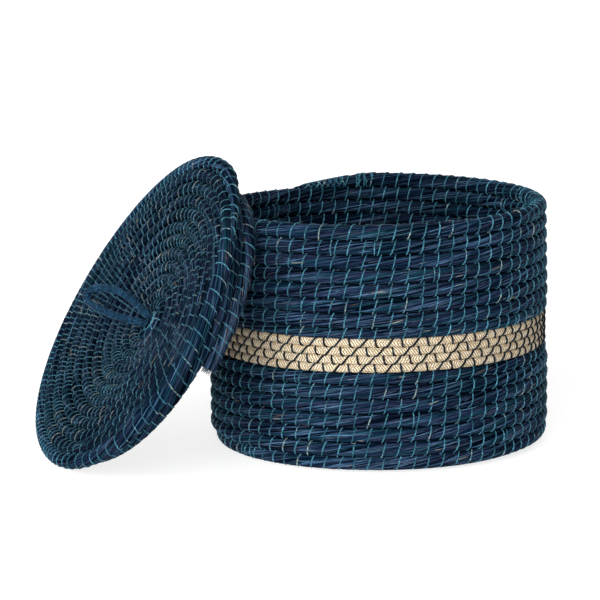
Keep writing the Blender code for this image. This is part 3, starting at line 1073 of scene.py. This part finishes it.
class BASKET_OT_grass_rows(bpy.types.Operator):
    """Builds the grass rows of the base and the wall, and the teal thread round them"""

    bl_idname = "basket.grass_rows"
    bl_label = "Basket rows"

    def execute(self, context):
        looks = context.scene.basket_looks
        rng = np.random.default_rng(WALL_SEED)
        coil = basket_coil()
        stitches = sewn(coil, 0, RIM_END, wall_spacing(looks), rng)
        teal = teal_thread("teal_thread", looks)
        thread = looks.thread_thickness / 2
        last = coil.along(RIM_END - 1) - coil.along(UPPER_START)
        # Both walls get painted shade on their inner side (INSIDE_PAINTED_SHADE)
        rows = (
            ("base_grass", "base_coil", TO_THE_LEFT, math.inf, 0, LOWER_START, 0.0),
            ("lower_wall_grass", "lower_wall_coil", BELOW, math.inf, LOWER_START, BRAID_START, INSIDE_PAINTED_SHADE),
            ("upper_wall_grass", "upper_wall_coil", BELOW, last, UPPER_START, RIM_END, INSIDE_PAINTED_SHADE),
        )
        for name, node, before, last_row, start, end, inside in rows:
            grass = dyed_grass(name, looks, before, last_row, inside=inside)
            piece = make_bundle(name, coil, start, end, stitches, grass, "basket")
            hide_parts(node)
            mine = stitches[(stitches >= start) & (stitches <= min(end, CROSS_START))]
            path = wrapped(coil, mine, thread, uneven(WALL_SLANT, rng), BACK_SLANT)
            thread_name = name.replace("grass", "thread")
            piece = make_tubes(thread_name, [(path, thread)], THREAD_SIDES, teal, "basket")
        return {"FINISHED"}


class BASKET_OT_rim_end(bpy.types.Operator):
    """Builds the crossed stitches on the rim's thin tail and the tangle of thread where they begin"""

    bl_idname = "basket.rim_end"
    bl_label = "Rim end"

    def execute(self, context):
        looks = context.scene.basket_looks
        rng = np.random.default_rng(RIM_SEED)
        coil = basket_coil()
        teal = teal_thread("rim_thread", looks)
        thread = looks.thread_thickness / 2
        steps = np.arange(CROSS_START, CROSS_END, CROSS_SPACING_TURNS)
        crossed = []
        for slant, shift in zip(CROSS_SLANTS, (0, CROSS_SPACING_TURNS / 2)):
            crossed.append((wrapped(coil, steps + shift, thread, slant, slant), thread))
        piece = make_tubes("rim_tail_cross_stitches", crossed, THREAD_SIDES, teal, "basket")

        tangle = []
        loops = TANGLE_LOOPS * np.linspace(0, 1, TANGLE_POINTS)
        for _ in range(TANGLE_THREADS):
            turns = TANGLE_TURN + TANGLE_WANDER * np.cumsum(rng.normal(0, 1, TANGLE_POINTS))
            centre, out, over, radius = coil.at(turns)
            angle = TAU * (rng.uniform(0, 1) + loops)
            wave = np.sin(TAU * (loops + rng.uniform(0, 1))) ** 2
            height = radius * TANGLE_RADIUS_SHARE + TANGLE_RISE * wave
            tangle.append((centre + round_coil(out, over, angle) * height[:, None], thread))
        piece = make_tubes("rim_thread_tangle", tangle, THREAD_SIDES, teal, "basket")
        return {"FINISHED"}


class BASKET_OT_band(bpy.types.Operator):
    """Builds the four rows of natural braid and the dark thread across them"""

    bl_idname = "basket.band"
    bl_label = "Braid band"

    def execute(self, context):
        looks = context.scene.basket_looks
        coil = basket_coil()
        row = TAU * WALL_RADIUS
        pair = (1 + BAND_SLANT / row) / BAND_PAIRS
        pairs = np.arange(BAND_START, UPPER_START, pair)
        short = pair / 2 + (BAND_SLANT + BAND_BACK_SLANT) / 2 / row
        stitches = np.sort(np.concatenate([pairs, pairs[:-1] + short]))
        fibre = natural_braid(looks)
        braid = make_bundle("natural_braid_band", coil, BRAID_START, UPPER_START, stitches, fibre, "basket")
        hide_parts("braid_band_coil")
        dark = dark_thread("band_thread", looks, looks.thread_colour)
        thread = looks.thread_thickness / 2 * BAND_THREAD_SHARE
        slants = BAND_SLANT / (short * row), -BAND_BACK_SLANT / ((pair - short) * row)
        path = wrapped(coil, stitches, thread, slants, BAND_BACK_SLANTS, 0, BAND_HOOKS)
        piece = make_tubes("band_thread", [(path, thread)], THREAD_SIDES, dark, "basket")
        return {"FINISHED"}


class BASKET_OT_lid(bpy.types.Operator):
    """Builds the lid's rows, its flange with its frayed end, and the teal thread round them"""

    bl_idname = "basket.lid"
    bl_label = "Lid rows"

    def execute(self, context):
        looks = context.scene.basket_looks
        rng = np.random.default_rng(LID_SEED)
        teal = teal_thread("edge_thread", looks)
        # The thread of the rows inside the edge row is the teal thread painted darker, as shade
        shades = looks.lid_thread_colour, looks.lid_thread_deep, looks.lid_thread_pale
        shaded_lid_thread = sewing_thread("lid_thread", *shades, LID_PALE_SHARE)
        thread = looks.thread_thickness / 2 * LID_THREAD_SHARE
        place = lid_place()
        top, flange = lid_coil(), flange_coil()
        sewn_top = sewn(top, 0, LID_TURNS, lid_spacing(looks), rng)
        hems = np.arange(FLANGE_FIRST_STITCH, FLANGE_TURNS, FLANGE_STITCH_TURNS)
        # The lid's rows inside its edge row get painted shade: LID_PAINTED_SHADE darkens their grass
        rows = (
            ("lid_top", "lid_top_coil", top, TO_THE_RIGHT, LID_TURNS, sewn_top, LID_PAINTED_SHADE),
            ("lid_flange", "lid_flange_coil", flange, ABOVE, FLANGE_TURNS, hems, 0.0),
        )
        for name, node, coil, before, end, stitches, painted_row_shade in rows:
            grass = dyed_grass(name + "_grass", looks, before, coil.along(end - 1), painted_row_shade)
            piece = make_bundle(name + "_grass", coil, 0, end, stitches, grass, "lid", place)
            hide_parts(node)
            path = wrapped(coil, stitches, thread, uneven(LID_SLANT, rng), BACK_SLANT)
            # The edge row keeps the teal thread, and the rows inside it get the darker, shaded copy
            split = np.searchsorted(stitches, end - LID_EDGE_TURNS) * SAMPLES_PER_WRAP
            parts = (("_thread", path[: split + 1], shaded_lid_thread), ("_edge_thread", path[split:], teal))
            for part, points, colour in parts:
                piece = make_tubes(name + part, [(points, thread)], THREAD_SIDES, colour, "lid", place)
        ends = frayed(flange, FLANGE_TURNS, rng)
        ends += lying_strands(
            flange, hems, LIFTED_SPAN, LIFTED_ENDS, rng, 0, FLANGE_STRAND_SPREAD,
            LIFTED_LENGTH, FRAYED_THICKNESS, LIFTED_HEIGHT,
        )
        dark = loose_grass("frayed_grass", looks.strand_soft, looks.grass_dark)
        piece = make_tubes("lid_flange_frayed_end", ends, STRAND_SIDES, dark, "lid", place)
        make_loose_grass(
            "flange", looks, flange, hems, FLANGE_STRAND_SPAN, FLANGE_STRANDS, rng, 0, FLANGE_STRAND_SPREAD,
            "lid", place,
        )
        return {"FINISHED"}


class BASKET_OT_loose_grass(bpy.types.Operator):
    """Builds the single strands of grass that lie on the rows or lift off them"""

    bl_idname = "basket.loose_grass"
    bl_label = "Loose strands"

    def execute(self, context):
        looks = context.scene.basket_looks
        rng = np.random.default_rng(LOOSE_SEED)
        coil = basket_coil()
        stitches = sewn(coil, 0, RIM_END, wall_spacing(looks), np.random.default_rng(WALL_SEED))
        rim = RIM_END - BARE_RIM_TURNS
        rows = (
            ("lower_wall", LOWER_START, BRAID_START - BARE_TURNS, WALL_STRANDS, 0, WALL_STRAND_SPREAD),
            ("upper_wall", UPPER_START, rim, WALL_STRANDS, 0, WALL_STRAND_SPREAD),
            ("inside", RIM_END - INSIDE_TURNS, rim, INSIDE_STRANDS, math.pi, INSIDE_STRAND_SPREAD),
        )
        for name, start, end, counts, facing, spread in rows:
            make_loose_grass(name, looks, coil, stitches, (start, end), counts, rng, facing, spread, "basket")
        top = lid_coil()
        stitches = sewn(top, 0, LID_TURNS, lid_spacing(looks), np.random.default_rng(LID_SEED))
        span = (LID_STRAND_START, LID_TURNS - BARE_TURNS)
        make_loose_grass(
            "lid", looks, top, stitches, span, LID_STRANDS, rng, 0, LID_STRAND_SPREAD, "lid", lid_place()
        )
        return {"FINISHED"}


def first_turn(eye, thick, angle_at, height_at):
    """The turn before a spiral's first, which fills its eye and gets thicker up to the spiral's start."""
    turn = np.linspace(0, 1, FINE_STEPS // 2)
    across = eye + (thick - eye) * turn
    reach = eye + thick * turn - across / 2
    angle = angle_at(turn)
    radial = level(angle)
    centre = radial * reach[:, None] + UP * height_at(reach, angle)[:, None]
    return Coil(turn, centre, np.broadcast_to(UP, radial.shape), radial, across / 2, WALL_PINCH)


class BASKET_OT_knots(bpy.types.Operator):
    """Builds the core and the tight first turn of grass that close the middle of the base and of the lid"""

    bl_idname = "basket.knots"
    bl_label = "Start knots"

    def execute(self, context):
        looks = context.scene.basket_looks
        teal = teal_thread("knot_thread", looks)
        thread = looks.thread_thickness / 2 * LID_THREAD_SHARE
        base = first_turn(BASE_EYE, GRASS_COIL, basket_angle, base_height)
        lid = first_turn(LID_EYE, LID_COIL, lid_angle, lid_height)
        knots = (
            ("base_knot", "base_start_knot", "basket", base, TO_THE_LEFT, BASE_EYE, BASE_HEIGHT, Matrix()),
            ("lid_knot", "lid_start_knot", "lid", lid, TO_THE_RIGHT, LID_EYE, -LID_DISH, lid_place()),
        )
        for name, node, body, coil, before, eye, height, place in knots:
            grass = dyed_grass(name + "_grass", looks, before)
            stitches = np.linspace(0, 1, KNOT_STITCHES)
            piece = make_bundle(name, coil, 0, 1, stitches, grass, body, place)
            slope = np.linspace(-PLUG_SLOPE, PLUG_SLOPE, STRAND_POINTS)
            plug = UP * (height + np.sin(slope) * eye / 2 * PLUG_HEIGHT_SHARE)[:, None]
            radii = np.cos(slope) * eye * PLUG_SHARE
            core = make_tubes(name + "_core", [(plug, radii)], BUNDLE_SIDES, grass, body, place)
            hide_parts(node)
            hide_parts(node)
            path = wrapped(coil, stitches, thread, WALL_SLANT, BACK_SLANT)
            piece = make_tubes(name + "_thread", [(path, thread)], THREAD_SIDES, teal, body, place)
        return {"FINISHED"}


def handle_route():
    """The middle line of the handle's cord, in the handle's own place, with a foot at both ends."""
    leg = (CORD_THICKNESS + LEG_SLIT) / 2
    shares = np.array(HANDLE_ROUTE_SHARES)
    loop = np.column_stack([np.zeros(len(shares)), shares[:, 1] * HANDLE_WIDTH, shares[:, 0] * HANDLE_LENGTH])
    route = catmull_rom(np.vstack([(0, leg, 0), loop, (0, -leg, 0)]), ROUTE_SAMPLES)
    foot = UP * FOOT_DEPTH
    return np.vstack([route[:1] - foot, route, route[-1:] - foot])


def handle_winding(route, thread, core):
    """The line of the thread round the handle's cord."""
    along = lengths(route)
    pitch = 2 * thread * WINDING_SPACING
    wraps = np.arange(0, along[-1] / pitch, 1 / WINDING_SAMPLES)
    middle = np.column_stack([np.interp(wraps * pitch, along, column) for column in route.T])
    ahead = np.gradient(middle, axis=0)
    ahead /= np.linalg.norm(ahead, axis=1)[:, None]
    side = np.array([1.0, 0, 0])
    return middle + round_coil(side, np.cross(ahead, side), wraps * TAU) * core


def foot_binding():
    """The line of the stitches that hold the handle's foot: loops that widen as they sink into the lid."""
    turn = np.arange(0, BINDING_TURNS, 1 / BINDING_SAMPLES)
    wide, long = (width + BINDING_SPREAD * turn for width in BINDING_WIDTHS)
    depth = BINDING_DEPTH + BINDING_FALL * turn
    return np.column_stack([wide * np.cos(turn * TAU), long * np.sin(turn * TAU), -depth])


class BASKET_OT_handle(bpy.types.Operator):
    """Builds the handle's cord, the thread wound round it and the stitches that hold its foot"""

    bl_idname = "basket.handle"
    bl_label = "Handle"

    def execute(self, context):
        looks = context.scene.basket_looks
        place = lid_place() @ Matrix.Translation((0, 0, HINGE_HEIGHT))
        shades = looks.handle_colour, looks.handle_deep, looks.handle_pale
        blue = sewing_thread("handle_thread", *shades, HANDLE_PALE_SHARE, HANDLE_STRETCHES, HANDLE_GLOSS)
        teal = teal_thread("foot_thread", looks)
        dark = dark_thread("handle_core", looks, looks.handle_deep)
        thread = looks.handle_thread_thickness / 2
        core = CORD_THICKNESS / 2 - thread
        route = handle_route()
        cord = make_tubes("handle_cord", [(route, core)], CORD_SIDES, dark, "handle", place, settle=False)
        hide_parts("handle_loop")

        winding = [(handle_winding(route, thread, core), thread)]
        piece = make_tubes("handle_winding", winding, THREAD_SIDES, blue, "handle", place, settle=False)

        binding = [(foot_binding(), looks.thread_thickness / 2)]
        piece = make_tubes("handle_foot_binding", binding, THREAD_SIDES, teal, "lid", place, settle=False)
        return {"FINISHED"}


def camera_turned():
    """The camera's directions, fitted to the photo: a little to the left and down, with a slight roll."""
    forward = Vector((math.sin(CAMERA_YAW), math.cos(CAMERA_YAW), 0))
    ahead = forward * math.cos(CAMERA_PITCH) - Vector((0, 0, math.sin(CAMERA_PITCH)))
    right = Vector((forward.y, -forward.x, 0))
    up = right.cross(ahead)
    sine, cosine = math.sin(CAMERA_ROLL), math.cos(CAMERA_ROLL)
    return Matrix((right * cosine + up * sine, up * cosine - right * sine, -ahead)).transposed()


def add_soft_light(name, strength, spread, towards):
    """A distant soft light that comes from a direction."""
    light = bpy.data.lights.new(name, "SUN")
    light.energy = strength
    light.angle = spread
    lamp = bpy.data.objects.new(name, light)
    lamp.rotation_euler = (-towards).to_track_quat("-Z", "Y").to_euler()
    bpy.context.scene.collection.objects.link(lamp)


class BASKET_OT_stage(bpy.types.Operator):
    """Lays the pale floor and sets the soft lights and the camera"""

    bl_idname = "basket.stage"
    bl_label = "Stage"

    def execute(self, context):
        looks = context.scene.basket_looks
        scene = context.scene
        mesh = bpy.data.meshes.new("floor")
        plane = bmesh.new()
        bmesh.ops.create_grid(plane, x_segments=1, y_segments=1, size=FLOOR_REACH)
        plane.to_mesh(mesh)
        plane.free()
        mesh.materials.append(floor_paint(looks))
        floor = bpy.data.objects.new("floor", mesh)
        scene.collection.objects.link(floor)

        for light in SOFT_LIGHTS:
            add_soft_light(*light)
        world = bpy.data.worlds.new("studio")
        world.use_nodes = True
        sky = world.node_tree.nodes["Background"].inputs
        sky["Color"].default_value = (1, 1, 1, 1)
        sky["Strength"].default_value = WORLD_GLOW
        scene.world = world
        scene.view_settings.view_transform = "Standard"

        lens = bpy.data.cameras.new("camera")
        lens.sensor_width = CAMERA_SENSOR
        lens.lens = CAMERA_LENS
        camera = bpy.data.objects.new("camera", lens)
        camera.matrix_world = Matrix.Translation(CAMERA_PLACE) @ camera_turned().to_4x4()
        scene.collection.objects.link(camera)
        scene.camera = camera
        return {"FINISHED"}


OPERATORS = (
    BASKET_OT_grass_rows,
    BASKET_OT_rim_end,
    BASKET_OT_band,
    BASKET_OT_lid,
    BASKET_OT_loose_grass,
    BASKET_OT_knots,
    BASKET_OT_handle,
    BASKET_OT_stage,
)


class BASKET_PT_panel(bpy.types.Panel):
    """Lists the basket's sizes, colours and pieces"""

    bl_label = "Coiled basket"
    bl_space_type = "VIEW_3D"
    bl_region_type = "UI"
    bl_category = "Basket"

    def draw(self, context):
        looks = context.scene.basket_looks
        for name in BasketLooks.__annotations__:
            self.layout.prop(looks, name)
        for operator in OPERATORS:
            self.layout.operator(operator.bl_idname)


CLASSES = (BasketLooks, *OPERATORS, BASKET_PT_panel)


def register():
    """Adds the classes and the scene's looks."""
    for each in CLASSES:
        bpy.utils.register_class(each)
    bpy.types.Scene.basket_looks = bpy.props.PointerProperty(type=BasketLooks)


def unregister():
    """Takes away what register added."""
    del bpy.types.Scene.basket_looks
    for each in reversed(CLASSES):
        bpy.utils.unregister_class(each)


def main():
    """Builds all pieces and the stage."""
    register()
    for operator in OPERATORS:
        group, name = operator.bl_idname.split(".")
        if getattr(getattr(bpy.ops, group), name)() != {"FINISHED"}:
            raise RuntimeError(f"{operator.bl_idname} did not finish")
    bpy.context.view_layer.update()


if __name__ == "__main__":
    main()
